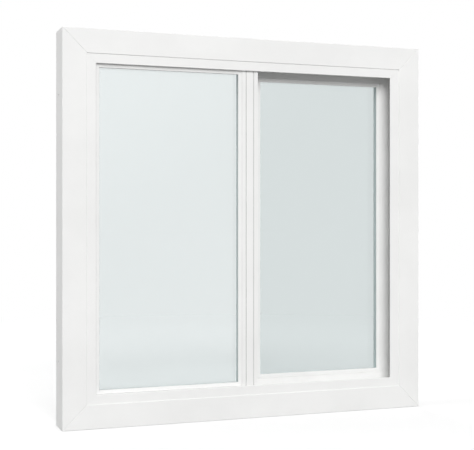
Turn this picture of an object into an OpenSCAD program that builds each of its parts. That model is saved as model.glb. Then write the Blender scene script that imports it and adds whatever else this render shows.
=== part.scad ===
// Horizontal sliding window: a fixed lite on the left and a sliding sash on the right,
// as seen from outside. X runs along the sill, Y from outside to the room, and Z up.
// The origin is on the underside of the sill, under the middle of the frame.

/* [Overall] */
// Width over the casing
frame_w = 914; // [760:1:1400]
// Height over the casing
frame_h = 914; // [700:1:1400]

/* [Casing] */
// Width of the casing's face
casing_face = 56; // [48:0.5:75]
// Wall of the hollow casing
casing_wall = 2.5; // [2:0.1:4]
// Rounding of the casing's long edges
casing_round = 1.2; // [0.4:0.1:2]
// Depth of the weld groove on the casing's mitres
weld_groove = 0.8; // [0.2:0.1:1]
// Radius of the fixing holes through the jambs
fixing_r = 3.2; // [2.5:0.1:4]
// Distance of each fixing hole from the end of its jamb
fixing_inset = 150; // [100:1:170]

/* [Track frame] */
// Setback of the track frame from the casing's front and back
track_recess = 1.5; // [0.5:0.1:3]
// Floor thickness of the track frame
track_floor = 2.5; // [2:0.1:4]
// Thickness of the track frame's front and rear legs
track_leg = 4.5; // [3.5:0.1:6]
// Height of the legs over the floor
track_rise = 19.5; // [17:0.1:22]
// Extra reach of the right jamb's front leg over the edge of the sash
cover_rise = 3; // [1:0.1:4]
// Rounding of the legs' edges
leg_round = 1.2; // [0.4:0.1:1.6]
// Width of the guide rib in the sash channel
rib_w = 4; // [3:0.1:4.5]
// Height of the guide rib over the floor
rib_h = 6; // [5:0.1:8]
// Height of the metal rail on the sill's rib
rail_t = 3; // [2:0.1:4]

/* [Glass units] */
// Thickness of each pane
pane_t = 3; // [2.5:0.1:5]
// Space between the two panes
cavity = 12; // [8:0.5:16]
// Width of the spacer bar, seen square to the glass
spacer_w = 7; // [5:0.1:8]
// Width of the edge sealant outside the spacer
edge_seal = 4; // [3:0.1:5]
// Cover of the frame over the glass edge
glass_bite = 13; // [12:0.1:16]
// Setback of the rear glazing lips behind the edges of the beads
lip_short = 4; // [1:0.1:5]
// Thickness of the setting blocks
block_t = 3; // [2:0.1:4]
// Length of a setting block
block_len = 60; // [40:1:90]
// Thickness of the glazing tape behind a unit
tape_t = 1; // [0.6:0.1:2]
// Thickness of the gasket between bead and glass
gasket_t = 0.5; // [0.3:0.1:1]

/* [Fixed lite] */
// Height of the glazing adaptor over the track frame's floor
adaptor_h = 12.5; // [11:0.1:14]
// Wall of the adaptor and of the rear lip's shell
adaptor_wall = 2; // [1.6:0.1:3]
// Depth of the glazing bead, with the lip that holds it
bead_d = 7; // [6.5:0.1:9]
// Depth of the lip that holds the bead's foot
bead_catch = 4; // [3:0.1:4.4]
// Thickness of the rear glazing lip
rear_lip = 3.5; // [3:0.1:5]

/* [Meeting rail] */
// Place of the rail's right face, from the middle of the frame
rail_right = 19; // [10:1:40]
// Width of the rail's hollow core
rail_core = 34; // [32:1:50]
// Wall of the rail
rail_wall = 2.5; // [2:0.1:3.5]
// Setback of the rail's face behind the front leg
rail_set = 1; // [0.5:0.1:2]
// Width of the strip between the face lines
strip_w = 19.5; // [14:0.5:22]
// Distance of the right face line from the rail's right face
line_inset = 11.2; // [8:0.1:13]
// Width of a face line
line_w = 1.8; // [0.8:0.1:2]
// Depth of a face line
line_d = 1.6; // [0.8:0.1:1.6]

/* [Sash] */
// Gap between the meeting rail and the sash
meet_gap = 8.5; // [8:0.1:12]
// Overlap of the sash behind the meeting rail
sash_overlap = 15; // [14:0.5:16.5]
// Wall of the hollow sash members
sash_wall = 2.2; // [1.8:0.1:2.6]
// Gap between the sash edge and the channel floor
edge_gap = 2; // [1.5:0.1:3]
// Width of the groove along the sash edge
groove_w = 11; // [10.8:0.1:12]
// Web between the edge groove and the glazing pocket
pocket_web = 2; // [1.6:0.1:3]
// Visible width of the sash bead
sash_bead_show = 10; // [8:0.1:11]
// Thickness of the sash bead
sash_bead_t = 2.7; // [2.4:0.1:4]
// Setback of the bead behind the sash face
sash_bead_set = 0.8; // [0.4:0.1:1.2]
// Thickness of the sash's rear glazing lip
sash_lip = 4; // [3:0.1:5]
// Space for the pile between sash and rear leg
pile_gap = 2.5; // [2:0.1:4]
// Width of the pile's backing
pile_w = 5; // [4:0.1:7]
// Height of the finger pull
pull_h = 140; // [90:1:220]
// Width of the finger pull's base
pull_w = 9.5; // [8:0.5:12]
// Thickness of the finger pull's walls
pull_t = 2; // [1.6:0.1:3]
// Reach of the finger pull into the room
pull_reach = 6; // [5:0.1:8]

/* [Rollers] */
// Radius of the wheel's tread
tread_r = 6.3; // [5.5:0.1:7]
// Height of the wheel's flanges over the tread
flange_h = 1; // [0.6:0.1:1.5]
// Width of the wheel
wheel_w = 6.2; // [6:0.1:6.6]
// Radius of the axle
axle_r = 1.5; // [1.2:0.1:2]
// Length of a roller housing
housing_len = 44; // [34:1:60]
// Wall of a roller housing beside the wheel
housing_wall = 1.4; // [1:0.1:1.5]
// Distance of each axle from the end of the sash
roller_inset = 75; // [60:1:110]

/* [Lock] */
// Height of the lock's pivot over the middle of the frame
lock_rise = 0; // [-30:1:30]
// Length of the lock base
lock_len = 64; // [58:1:90]
// Width of the lock base
lock_w = 21; // [19:0.5:23]
// Thickness of the lock base
lock_t = 6; // [5:0.1:7]
// Radius of the lever's pivot
pivot_r = 4; // [3:0.1:5]
// Length of the thumb lever from its pivot
lever_len = 19; // [15:0.5:20]
// Width of the thumb lever
lever_w = 8; // [6:0.1:9]
// Width of the beak
beak_w = 6; // [4:0.1:8]
// Thickness of the beak
beak_t = 3; // [2:0.1:3.4]
// Thickness of the keeper
keeper_t = 3.5; // [3:0.1:4]
// Shank radius of the small screws
screw_r = 1.5; // [1.2:0.1:1.8]
// Head radius of the small screws
screw_head_r = 3; // [2.5:0.1:3.4]

/* [Stops and guides] */
// Distance of each open stop from the fixing hole beside it
stop_shift = 50; // [30:1:60]
// Length of an open stop
stop_len = 30; // [20:1:40]
// Depth of an open stop
stop_d = 16; // [12:0.5:20]
// Length of a top guide
guide_len = 40; // [25:1:60]

/* [Hidden] */

$fn = 48;
ARC_STEPS = 6;
OVER = 1;

// Sides of a rectangular frame
SILL = 0;
LEFT = 1;
HEAD = 2;
RIGHT = 3;

// Clearances
fit_gap = 0.2;
soft_gap = 0.3;
run_gap = 0.05;
roll_gap = 0.2;
screw_gap = 0.1;
wheel_room = 0.7;
housing_room = 1;
hook_gap = 0.7;
stop_gap = 0.5;
face_gap = 0.5;
notch_gap = 1.5;
beak_gap = 1;
slot_gap = 1.5;
tip_gap = 0.8;
lever_room = 1;
pull_room = 2;

// Small sizes that stay the same
lip_hide = 1;
bead_tongue = 1.5;
hook_t = 1.5;
hook_inset = 4;
hook_set = 1;
hook_step = 2;
rail_hook_w = 8;
sash_hook_w = 7;
hub_rim = 4;
thumb_rise = 3;
keeper_rim = 4;
head_rim = 1.5;
head_t = 1.6;

// Colours
WHITE = "#F1F1F0";
GLASS = "#D5E1E1";
GREY = "#8F9A9A";
DARK = "#4A4D4E";
SOFT_GREY = "#B4B9B9";
METAL = "#B9BCBE";
NYLON = "#D9D9D4";

// Depths, from the outside face of the casing
unit_t = 2 * pane_t + cavity;
leg_front = track_recess;
leg_back = leg_front + track_leg;
bead_back = leg_back + bead_d;
fixed_front = bead_back + gasket_t;
fixed_back = fixed_front + unit_t;
lip_front = fixed_back + tape_t;
rail_back = lip_front + rear_lip;
rail_front = leg_back + rail_set;
sash_d = sash_bead_set + sash_bead_t + gasket_t + unit_t + tape_t + sash_lip;
sash_front = rail_back + meet_gap;
sash_back = sash_front + sash_d;
sash_mid = (sash_front + sash_back) / 2;
sash_unit_front = sash_front + sash_bead_set + sash_bead_t + gasket_t;
rear_leg_front = sash_back + pile_gap;
rear_leg_back = rear_leg_front + track_leg;
frame_d = rear_leg_back + track_recess;

// Heights inwards from the outer edge of the casing
floor_in = casing_face + track_floor;
stop_in = floor_in + track_rise;
pocket_in = floor_in + adaptor_h;
sash_in = floor_in + edge_gap;

// Heights inwards from the floor of the fixed lite's glazing pocket
fixed_foot = track_rise - adaptor_h;
fixed_cover = block_t + glass_bite;

// Heights inwards from the edge of the sash
axle_t = rib_h - edge_gap + roll_gap + tread_r;
groove_t = axle_t + tread_r + flange_h + wheel_room;
pocket_t = groove_t + pocket_web;
sash_face = pocket_t + block_t + glass_bite;
seat_t = sash_face - sash_bead_show;
sash_seat_wall = sash_bead_set + sash_bead_t - bead_tongue;

// Frames as [left, right, bottom, top]
outer_ring = [-frame_w / 2, frame_w / 2, 0, frame_h];
rail_left = rail_right - rail_core;
sash_left = rail_right - sash_overlap;
track_ring = inset(outer_ring, casing_face);
floor_ring = inset(outer_ring, floor_in);
stop_ring = inset(outer_ring, stop_in);
fixed_ring = [-frame_w / 2 + pocket_in, rail_left, pocket_in, frame_h - pocket_in];
sash_ring = [sash_left, frame_w / 2 - sash_in, sash_in, frame_h - sash_in];
fixed_unit = inset(fixed_ring, block_t);
sash_unit = inset(sash_ring, pocket_t + block_t);

// Lock
lock_z = frame_h / 2 + lock_rise;
lever_face = sash_left - lock_t - face_gap;
beak_left = lever_face - beak_t;
thumb_t = beak_t + thumb_rise;
beak_len = sash_mid - rail_back - tip_gap;
keeper_back = rail_back + keeper_t;
beak_swing = sqrt(pow(beak_len, 2) - pow(sash_mid - keeper_back, 2)) + beak_w / 2;
slot_down = beak_swing + slot_gap;
slot_up = beak_w / 2 + slot_gap;
keeper_end = 2 * (screw_head_r + head_rim);
lock_screw_z = (lock_len - lock_w) / 2;

function inset(ring, by) = [ring[0] + by, ring[1] - by, ring[2] + by, ring[3] - by];

function arc(centre, r, from, to) = [
  for (i = [0:ARC_STEPS])
    let (a = from + (to - from) * i / ARC_STEPS)
    centre + r * [cos(a), sin(a)]
];

function rounded_box(x0, x1, y0, y1, r) = concat(
  arc([x0 + r, y0 + r], r, 180, 270),
  arc([x1 - r, y0 + r], r, 270, 360),
  arc([x1 - r, y1 - r], r, 0, 90),
  arc([x0 + r, y1 - r], r, 90, 180)
);

// Outline of one side of a frame, seen from the front and mitred at its ends
function mitre_outline(side, ring, out, deep) =
  let (o = inset(ring, -out), n = inset(ring, deep))
  side == SILL ? [[o[0], o[2]], [o[1], o[2]], [n[1], n[2]], [n[0], n[2]]]
  : side == HEAD ? [[o[0], o[3]], [o[1], o[3]], [n[1], n[3]], [n[0], n[3]]]
  : side == LEFT ? [[o[0], o[2]], [o[0], o[3]], [n[0], n[3]], [n[0], n[2]]]
  : [[o[1], o[2]], [o[1], o[3]], [n[1], n[3]], [n[1], n[2]]];

// Puts depths counted from the casing's face around the middle of the frame
module in_frame() {
  translate([0, -frame_d / 2, 0])
    children();
}

// A section drawn as [depth, height inwards] runs along one side of a frame
module bar(side, ring, out) {
  across = ring[1] - ring[0] + 2 * out;
  up = ring[3] - ring[2] + 2 * out;
  if (side == SILL)
    translate([ring[0] - out, 0, ring[2]])
      rotate([90, 0, 90])
        linear_extrude(across)
          children();
  if (side == HEAD)
    translate([ring[0] - out, 0, ring[3]])
      mirror([0, 0, 1])
        rotate([90, 0, 90])
          linear_extrude(across)
            children();
  if (side == LEFT)
    translate([ring[0], 0, ring[2] - out])
      mirror([1, 0, 0])
        rotate([0, 0, 90])
          linear_extrude(up)
            children();
  if (side == RIGHT)
    translate([ring[1], 0, ring[2] - out])
      rotate([0, 0, 90])
        linear_extrude(up)
          children();
}

// A front outline through the whole depth of the frame
module through(points) {
  translate([0, frame_d + OVER, 0])
    rotate([90, 0, 0])
      linear_extrude(frame_d + 2 * OVER)
        polygon(points);
}

module mitred(side, ring, out, deep) {
  intersection() {
    bar(side, ring, out)
      children();
    through(mitre_outline(side, ring, out, deep));
  }
}

// A plate over a whole ring, between two depths
module plate(ring, y0, y1) {
  translate([ring[0], y0, ring[2]])
    cube([ring[1] - ring[0], y1 - y0, ring[3] - ring[2]]);
}

// A flat band along the inside of a ring, between two depths
module band(ring, from, to, y0, y1) {
  difference() {
    plate(inset(ring, from), y0, y1);
    plate(inset(ring, to), y0 - OVER, y1 + OVER);
  }
}

// A section drawn as [x, depth] runs upwards
module upright(z0, z1) {
  translate([0, 0, z0])
    linear_extrude(z1 - z0)
      children();
}

// A cylinder along X, and one along Y
module rod_x(r, x0, x1, y, z) {
  translate([x0, y, z])
    rotate([0, 90, 0])
      cylinder(r = r, h = x1 - x0);
}

module rod_y(r, x, y0, y1, z) {
  translate([x, y1, z])
    rotate([90, 0, 0])
      cylinder(r = r, h = y1 - y0);
}

// Casing
module casing_section() {
  chamber = (frame_d - 4 * casing_wall) / 3;
  difference() {
    polygon(rounded_box(0, frame_d, 0, casing_face, casing_round));
    for (i = [0:2])
      translate([casing_wall + i * (chamber + casing_wall), casing_wall])
        square([chamber, casing_face - 2 * casing_wall]);
  }
}

module weld_grooves() {
  reach = casing_face * sqrt(2);
  side = weld_groove * sqrt(2);
  for (sx = [0, 1], sz = [0, 1])
    translate([outer_ring[sx], 0, outer_ring[2 + sz]])
      mirror([sx, 0, 0])
        mirror([0, 0, sz])
          rotate([0, -45, 0])
            translate([reach / 2, 0, 0])
              rotate([45, 0, 0])
                cube([reach + 2 * OVER, side, side], center = true);
}

// Screw holes into the wall, beside the rib of the sash channel
fixing_y = (sash_front + sash_mid - rib_w / 2) / 2;
fixing_half = frame_h / 2 - fixing_inset;

module fixing_holes() {
  for (sx = [-1, 1], sz = [-1, 1])
    rod_x(fixing_r, sx < 0 ? -frame_w / 2 - OVER : frame_w / 2 - floor_in - OVER,
          sx < 0 ? -frame_w / 2 + floor_in + OVER : frame_w / 2 + OVER,
          fixing_y, frame_h / 2 + sz * fixing_half);
}

module casing(side, drilled = false) {
  color(WHITE)
    in_frame()
      difference() {
        mitred(side, outer_ring, 0, casing_face)
          casing_section();
        weld_grooves();
        if (drilled)
          fixing_holes();
      }
}

module frame_head() { casing(HEAD); }
module frame_sill() { casing(SILL); }
module frame_jamb_left() { casing(LEFT, drilled = true); }
module frame_jamb_right() { casing(RIGHT, drilled = true); }

// Track frame: a floor, two legs and the guide rib
module track_section(rib) {
  top = track_floor + track_rise;
  rib_0 = sash_mid - rib_w / 2;
  rib_1 = sash_mid + rib_w / 2;
  polygon(concat(
    [[leg_front, 0]],
    arc([leg_front + leg_round, top - leg_round], leg_round, 180, 90),
    arc([leg_back - leg_round, top - leg_round], leg_round, 90, 0),
    [[leg_back, track_floor], [rib_0, track_floor], [rib_0, track_floor + rib],
     [rib_1, track_floor + rib], [rib_1, track_floor], [rear_leg_front, track_floor]],
    arc([rear_leg_front + leg_round, top - leg_round], leg_round, 180, 90),
    arc([rear_leg_back - leg_round, top - leg_round], leg_round, 90, 0),
    [[rear_leg_back, 0]]
  ));
}

module track(side, rib, drilled = false) {
  color(WHITE)
    in_frame()
      difference() {
        mitred(side, track_ring, 0, track_floor + track_rise)
          track_section(rib);
        if (drilled)
          fixing_holes();
      }
}

module track_head() { track(HEAD, rib_h); }
module track_sill() { track(SILL, rib_h - rail_t); }
module track_jamb_left() { track(LEFT, rib_h, drilled = true); }

// The right jamb's front leg reaches further, between the legs of head and sill
module track_jamb_right() {
  left = stop_ring[1] - cover_rise;
  right = stop_ring[1] + 2 * leg_round;
  track(RIGHT, rib_h, drilled = true);
  color(WHITE)
    in_frame()
      upright(stop_ring[2], stop_ring[3])
        polygon(concat(
          arc([left + leg_round, leg_back - leg_round], leg_round, 90, 180),
          arc([left + leg_round, leg_front + leg_round], leg_round, 180, 270),
          [[right, leg_front], [right, leg_back]]
        ));
}

// Metal rail on the sill's rib, between the ribs of the jambs
module roller_rail() {
  ends = inset(floor_ring, rib_h + soft_gap);
  color(METAL)
    in_frame()
      translate([ends[0], sash_mid - rib_w / 2, floor_in + rib_h - rail_t])
        cube([ends[1] - ends[0], rib_w, rail_t]);
}

// Fixed lite: adaptors that raise the glazing pocket and carry its rear lip
adaptor_lip = fixed_cover - lip_short;

module adaptor_section() {
  difference() {
    polygon([[leg_back, -adaptor_h], [rail_back, -adaptor_h], [rail_back, adaptor_lip],
             [lip_front, adaptor_lip], [lip_front, 0], [leg_back + bead_catch, 0],
             [leg_back + bead_catch, fixed_foot], [leg_back, fixed_foot]]);
    translate([leg_back + adaptor_wall, -adaptor_h + adaptor_wall])
      square([rail_back - leg_back - 2 * adaptor_wall, adaptor_h - 2 * adaptor_wall]);
  }
}

// Head and sill adaptors butt against the meeting rail below the pocket floor
module adaptor(side) {
  color(WHITE)
    in_frame()
      difference() {
        mitred(side, fixed_ring, adaptor_h, adaptor_lip)
          adaptor_section();
        if (side != LEFT)
          translate([rail_left, -OVER, 0])
            cube([rail_core, frame_d + 2 * OVER, frame_h]);
      }
}

module fixed_adaptor_head() { adaptor(HEAD); }
module fixed_adaptor_sill() { adaptor(SILL); }
module fixed_adaptor_jamb() { adaptor(LEFT); }

// Snap-in bead: a foot behind the catch lip and a sloping face with a round nose
bead_nose = 1.6;
bead_slope = 1;
bead_set = 1.2;
bead_face = rail_front + bead_set;

module bead_section() {
  foot_front = leg_back + bead_catch + fit_gap;
  tip = fixed_cover;
  polygon(concat(
    [[bead_back, fit_gap], [foot_front, fit_gap], [foot_front, fixed_foot + fit_gap],
     [bead_face, fixed_foot + fit_gap]],
    arc([bead_face + bead_slope + bead_nose, tip - bead_nose], bead_nose, 180, 90),
    [[bead_back, tip]]
  ));
}

module fixed_bead(side) {
  color(WHITE)
    in_frame()
      mitred(side, fixed_ring, 0, fixed_cover)
        bead_section();
}

module fixed_bead_head() { fixed_bead(HEAD); }
module fixed_bead_sill() { fixed_bead(SILL); }
module fixed_bead_jamb() { fixed_bead(LEFT); }
module fixed_bead_rail() { fixed_bead(RIGHT); }

// Meeting rail: a hollow core with two face lines, a catch lip and a rear glazing lip
rail_round = 0.8;
right_line = rail_right - line_inset;

module rail_core_section() {
  front_wall = rail_wall + line_d;
  chamber = (rail_core - 3 * rail_wall) / 2;
  difference() {
    polygon(concat(
      [[rail_left, rail_front]],
      arc([rail_right - rail_round, rail_front + rail_round], rail_round, 270, 360),
      [[rail_right, rail_back], [rail_left, rail_back]]
    ));
    for (i = [0:1])
      translate([rail_left + rail_wall + i * (chamber + rail_wall), rail_front + front_wall])
        square([chamber, rail_back - rail_front - front_wall - rail_wall]);
    for (x = [right_line, right_line - strip_w])
      translate([x - line_w / 2, rail_front - OVER])
        square([line_w, line_d + OVER]);
  }
}

module rail_lips_section() {
  translate([rail_front, 0])
    square([leg_back + bead_catch - rail_front, fixed_foot]);
  translate([lip_front, 0])
    square([rear_lip, adaptor_lip]);
}

module meeting_rail() {
  color(WHITE)
    in_frame()
      difference() {
        union() {
          upright(floor_ring[2], floor_ring[3])
            rail_core_section();
          mitred(RIGHT, fixed_ring, 0, adaptor_lip)
            rail_lips_section();
        }
        keeper_holes(screw_r + screw_gap);
      }
}

// Interlocking hooks of the meeting rail and the sash
hook_ring = inset(sash_ring, 2 * edge_gap);
rail_hook_x = rail_right - hook_inset;
rail_hook_back = sash_front - hook_gap;
sash_hook_front = rail_back + keeper_t + hook_gap;
sash_hook_x = sash_left + hook_set;

module rail_interlock() {
  x0 = rail_hook_x - rail_hook_w;
  color(WHITE)
    in_frame()
      upright(hook_ring[2], hook_ring[3]) {
        translate([x0, rail_back])
          square([rail_hook_w, hook_t]);
        translate([rail_hook_x - hook_t, rail_back])
          square([hook_t, rail_hook_back - rail_back]);
        translate([x0 + hook_step, rail_hook_back - hook_t])
          square([rail_hook_w - hook_step, hook_t]);
      }
}

module sash_interlock() {
  color(WHITE)
    in_frame()
      upright(hook_ring[2], hook_ring[3]) {
        translate([sash_hook_x, sash_hook_front])
          square([hook_t, sash_front - sash_hook_front]);
        translate([sash_hook_x, sash_hook_front])
          square([sash_hook_w, hook_t]);
      }
}

// Glass units
module spacer_bar(ring, front) {
  color(GREY)
    in_frame()
      band(ring, edge_seal, edge_seal + spacer_w, front + pane_t, front + pane_t + cavity);
}

module sealant(ring, front) {
  color(DARK)
    in_frame()
      band(ring, 0, edge_seal, front + pane_t, front + pane_t + cavity);
}

module pane(ring, front) {
  color(GLASS)
    in_frame()
      plate(ring, front, front + pane_t);
}

// Two blocks under a unit, a quarter of its width from each end
module setting_blocks(ring, front) {
  width = ring[1] - ring[0];
  color(DARK)
    in_frame()
      for (x = [ring[0] + width / 4, ring[1] - width / 4])
        translate([x - block_len / 2, front + face_gap, ring[2] - block_t])
          cube([block_len, unit_t - 2 * face_gap, block_t]);
}

module fixed_pane_outer() { pane(fixed_unit, fixed_front); }
module fixed_pane_inner() { pane(fixed_unit, fixed_back - pane_t); }
module fixed_spacer() { spacer_bar(fixed_unit, fixed_front); }
module fixed_edge_seal() { sealant(fixed_unit, fixed_front); }
module fixed_setting_blocks() { setting_blocks(fixed_unit, fixed_front); }

module fixed_glazing_tape() {
  color(SOFT_GREY)
    in_frame()
      band(fixed_unit, lip_hide, glass_bite - lip_short - lip_hide, fixed_back, lip_front);
}

module fixed_bead_gasket() {
  color(SOFT_GREY)
    in_frame()
      band(fixed_unit, fixed_foot, glass_bite - lip_hide / 2, bead_back, fixed_front);
}

// Pile strips on the rear legs of the track frame and on the meeting rail
pile_in = (track_rise - pile_w) / 2;
pile_back_t = 0.8;

module pile_section() {
  translate([rear_leg_front - pile_back_t, 0])
    square([pile_back_t, pile_w]);
  translate([sash_back + soft_gap, pile_w / 4])
    square([pile_gap - soft_gap, pile_w / 2]);
}

module pile(side, ring) {
  color(GREY)
    in_frame()
      bar(side, ring, 0)
        pile_section();
}

module pile_head() { pile(HEAD, [stop_ring[0], stop_ring[1], stop_ring[2], floor_ring[3] - pile_in]); }
module pile_sill() { pile(SILL, [stop_ring[0], stop_ring[1], floor_ring[2] + pile_in, stop_ring[3]]); }
module pile_jamb() { pile(RIGHT, [stop_ring[0], floor_ring[1] - pile_in, stop_ring[2], stop_ring[3]]); }

module pile_meeting() {
  color(GREY)
    in_frame()
      upright(hook_ring[2], hook_ring[3])
        translate([rail_hook_x + face_gap, rail_back])
          square([rail_right - rail_hook_x - 2 * face_gap, meet_gap - soft_gap]);
}

// Keeper: a slotted strike on the back of the meeting rail
keeper_left = beak_left - keeper_rim;
keeper_right = lever_face + keeper_rim;
keeper_x = (beak_left + lever_face) / 2;
keeper_low = lock_z - slot_down - keeper_end;
keeper_high = lock_z + slot_up + keeper_end;
keeper_screw_z = [keeper_low + keeper_end / 2, keeper_high - keeper_end / 2];

module keeper_holes(r) {
  for (z = keeper_screw_z)
    rod_y(r, keeper_x, rail_back - rail_wall - OVER, keeper_back + OVER, z);
}

module lock_keeper() {
  color(METAL)
    in_frame()
      difference() {
        translate([keeper_left, rail_back, keeper_low])
          cube([keeper_right - keeper_left, keeper_t, keeper_high - keeper_low]);
        translate([beak_left - beak_gap, rail_back - OVER, lock_z - slot_down])
          cube([beak_t + 2 * beak_gap, keeper_t + 2 * OVER, slot_down + slot_up]);
        keeper_holes(screw_r + screw_gap);
        for (z = keeper_screw_z)
          rod_y(screw_head_r + fit_gap, keeper_x, keeper_back - head_t, keeper_back + OVER, z);
      }
}

module keeper_screws() {
  color(METAL)
    in_frame()
      for (z = keeper_screw_z) {
        rod_y(screw_r, keeper_x, rail_back - rail_wall, keeper_back - head_t, z);
        rod_y(screw_head_r, keeper_x, keeper_back - head_t, keeper_back, z);
      }
}

// Rubber stops on the left jamb, over its rib, that keep the lever clear of the jamb's leg
stop_h = track_rise + lever_room + lock_t + face_gap + thumb_t - stop_gap;

module open_stops() {
  color(SOFT_GREY)
    in_frame()
      for (s = [-1, 1])
        translate([floor_ring[0], sash_mid, frame_h / 2 + s * (fixing_half - stop_shift) - stop_len / 2])
          difference() {
            translate([0, -stop_d / 2, 0])
              cube([stop_h, stop_d, stop_len]);
            translate([-OVER, -rib_w / 2 - fit_gap, -OVER])
              cube([rib_h + fit_gap + OVER, rib_w + 2 * fit_gap, stop_len + 2 * OVER]);
          }
}

// Sash members: two hollow flanks beside an edge groove, or one closed box
groove_0 = sash_mid - groove_w / 2;
groove_1 = sash_mid + groove_w / 2;
sash_lip_t = sash_face - lip_short;
sash_round = 0.8;

module sash_outline() {
  polygon(concat(
    arc([sash_front + sash_round, sash_round], sash_round, 270, 180),
    arc([sash_front + sash_round, seat_t - sash_round], sash_round, 180, 90),
    [[sash_front + sash_seat_wall, seat_t], [sash_front + sash_seat_wall, pocket_t],
     [sash_back - sash_lip, pocket_t], [sash_back - sash_lip, sash_lip_t]],
    arc([sash_back - sash_round, sash_lip_t - sash_round], sash_round, 90, 0),
    arc([sash_back - sash_round, sash_round], sash_round, 360, 270)
  ));
}

module grooved_section() {
  flank = groove_0 - sash_front;
  difference() {
    sash_outline();
    translate([groove_0, -OVER])
      square([groove_w, groove_t + OVER]);
    for (y = [sash_front, groove_1])
      translate([y + sash_wall, sash_wall])
        square([flank - 2 * sash_wall, groove_t - sash_wall]);
  }
}

module closed_section() {
  difference() {
    sash_outline();
    translate([sash_front + sash_wall, sash_wall])
      square([sash_d - 2 * sash_wall, groove_t - sash_wall]);
  }
}

module sash_member(side) {
  color(WHITE)
    in_frame()
      mitred(side, sash_ring, 0, sash_face)
        children();
}

module sash_rail_top() { sash_member(HEAD) grooved_section(); }
module sash_rail_bottom() { sash_member(SILL) grooved_section(); }
module sash_stile_jamb() { sash_member(RIGHT) grooved_section(); }

// Notches over the ribs of head and sill, where the meeting stile passes along them
module rib_notches() {
  deep = rib_h - edge_gap + notch_gap;
  wide = rib_w + 2 * notch_gap;
  for (z = [sash_ring[2] - OVER, sash_ring[3] - deep])
    translate([sash_ring[0] - OVER, sash_mid - wide / 2, z])
      cube([sash_face + 2 * OVER, wide, deep + OVER]);
}

module sash_stile_meeting() {
  difference() {
    sash_member(LEFT)
      closed_section();
    in_frame() {
      lock_holes(screw_r + screw_gap);
      rib_notches();
    }
  }
}

// Sash beads
module sash_bead_section() {
  face = sash_front + sash_bead_set;
  back = face + sash_bead_t;
  nose = 1.2;
  polygon(concat(
    [[back, pocket_t + fit_gap], [sash_front + sash_seat_wall + fit_gap, pocket_t + fit_gap],
     [sash_front + sash_seat_wall + fit_gap, seat_t + fit_gap], [face, seat_t + fit_gap]],
    arc([face + nose, sash_face - nose], nose, 180, 90),
    [[back, sash_face]]
  ));
}

module sash_bead(side) {
  color(WHITE)
    in_frame()
      mitred(side, sash_ring, 0, sash_face)
        sash_bead_section();
}

module sash_bead_top() { sash_bead(HEAD); }
module sash_bead_bottom() { sash_bead(SILL); }
module sash_bead_jamb() { sash_bead(RIGHT); }
module sash_bead_meeting() { sash_bead(LEFT); }

module sash_pane_outer() { pane(sash_unit, sash_unit_front); }
module sash_pane_inner() { pane(sash_unit, sash_unit_front + unit_t - pane_t); }
module sash_spacer() { spacer_bar(sash_unit, sash_unit_front); }
module sash_edge_seal() { sealant(sash_unit, sash_unit_front); }
module sash_setting_blocks() { setting_blocks(sash_unit, sash_unit_front); }

module sash_glazing_tape() {
  back = sash_unit_front + unit_t;
  color(SOFT_GREY)
    in_frame()
      band(sash_unit, lip_hide, glass_bite - lip_short - lip_hide, back, back + tape_t);
}

module sash_bead_gasket() {
  color(SOFT_GREY)
    in_frame()
      band(sash_unit, lip_hide, glass_bite - lip_hide / 2, sash_unit_front - gasket_t, sash_unit_front);
}

// Nylon guides in the top groove, over the head's rib
module sash_guides() {
  top = sash_ring[3];
  color(NYLON)
    in_frame()
      for (x = [sash_ring[0] + roller_inset, sash_ring[1] - roller_inset])
        difference() {
          translate([x - guide_len / 2, groove_0 + fit_gap, top - groove_t + fit_gap])
            cube([guide_len, groove_w - 2 * fit_gap, groove_t - 2 * fit_gap]);
          translate([x - guide_len / 2 - OVER, sash_mid - rib_w / 2 - face_gap, top - rib_h + face_gap])
            cube([guide_len + 2 * OVER, rib_w + 2 * face_gap, rib_h]);
        }
}

// Finger pull on the room side of the jamb stile
module sash_pull() {
  right = stop_ring[1] - pull_room;
  left = right - pull_w;
  color(WHITE)
    in_frame()
      upright(lock_z - pull_h / 2, lock_z + pull_h / 2) {
        translate([left, sash_back])
          square([pull_w, pull_t]);
        translate([left, sash_back])
          square([pull_t, pull_reach - pull_t / 2]);
        translate([left + pull_t / 2, sash_back + pull_reach - pull_t / 2])
          circle(r = pull_t / 2);
      }
}

// Rollers in the bottom groove
axle_z = sash_ring[2] + axle_t;
roller_x = [sash_ring[0] + roller_inset, sash_ring[1] - roller_inset];
rim_w = rib_w + 2 * soft_gap;

module roller_housing(x) {
  low = floor_in + rib_h + housing_room;
  high = sash_ring[2] + groove_t - fit_gap;
  half = wheel_w / 2 + soft_gap;
  window = tread_r + flange_h + housing_room;
  color(METAL)
    in_frame()
      difference() {
        translate([x - housing_len / 2, sash_mid - half - housing_wall, low])
          cube([housing_len, 2 * (half + housing_wall), high - low]);
        translate([x - window, sash_mid - half, low - OVER])
          cube([2 * window, 2 * half, high - low + 2 * OVER]);
        rod_y(axle_r + run_gap, x, groove_0, groove_1, axle_z);
      }
}

module roller_housing_left() { roller_housing(roller_x[0]); }
module roller_housing_right() { roller_housing(roller_x[1]); }

module roller_axles() {
  reach = wheel_w / 2 + soft_gap + housing_wall;
  color(METAL)
    in_frame()
      for (x = roller_x)
        rod_y(axle_r, x, sash_mid - reach, sash_mid + reach, axle_z);
}

// A flanged wheel that straddles the rail
module roller_wheel(x) {
  half = wheel_w / 2;
  color(NYLON)
    in_frame()
      translate([x, sash_mid, axle_z])
        rotate([90, 0, 0])
          rotate_extrude()
            polygon([[axle_r + run_gap, -half], [tread_r + flange_h, -half],
                     [tread_r + flange_h, -rim_w / 2], [tread_r, -rim_w / 2],
                     [tread_r, rim_w / 2], [tread_r + flange_h, rim_w / 2],
                     [tread_r + flange_h, half], [axle_r + run_gap, half]]);
}

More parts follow.
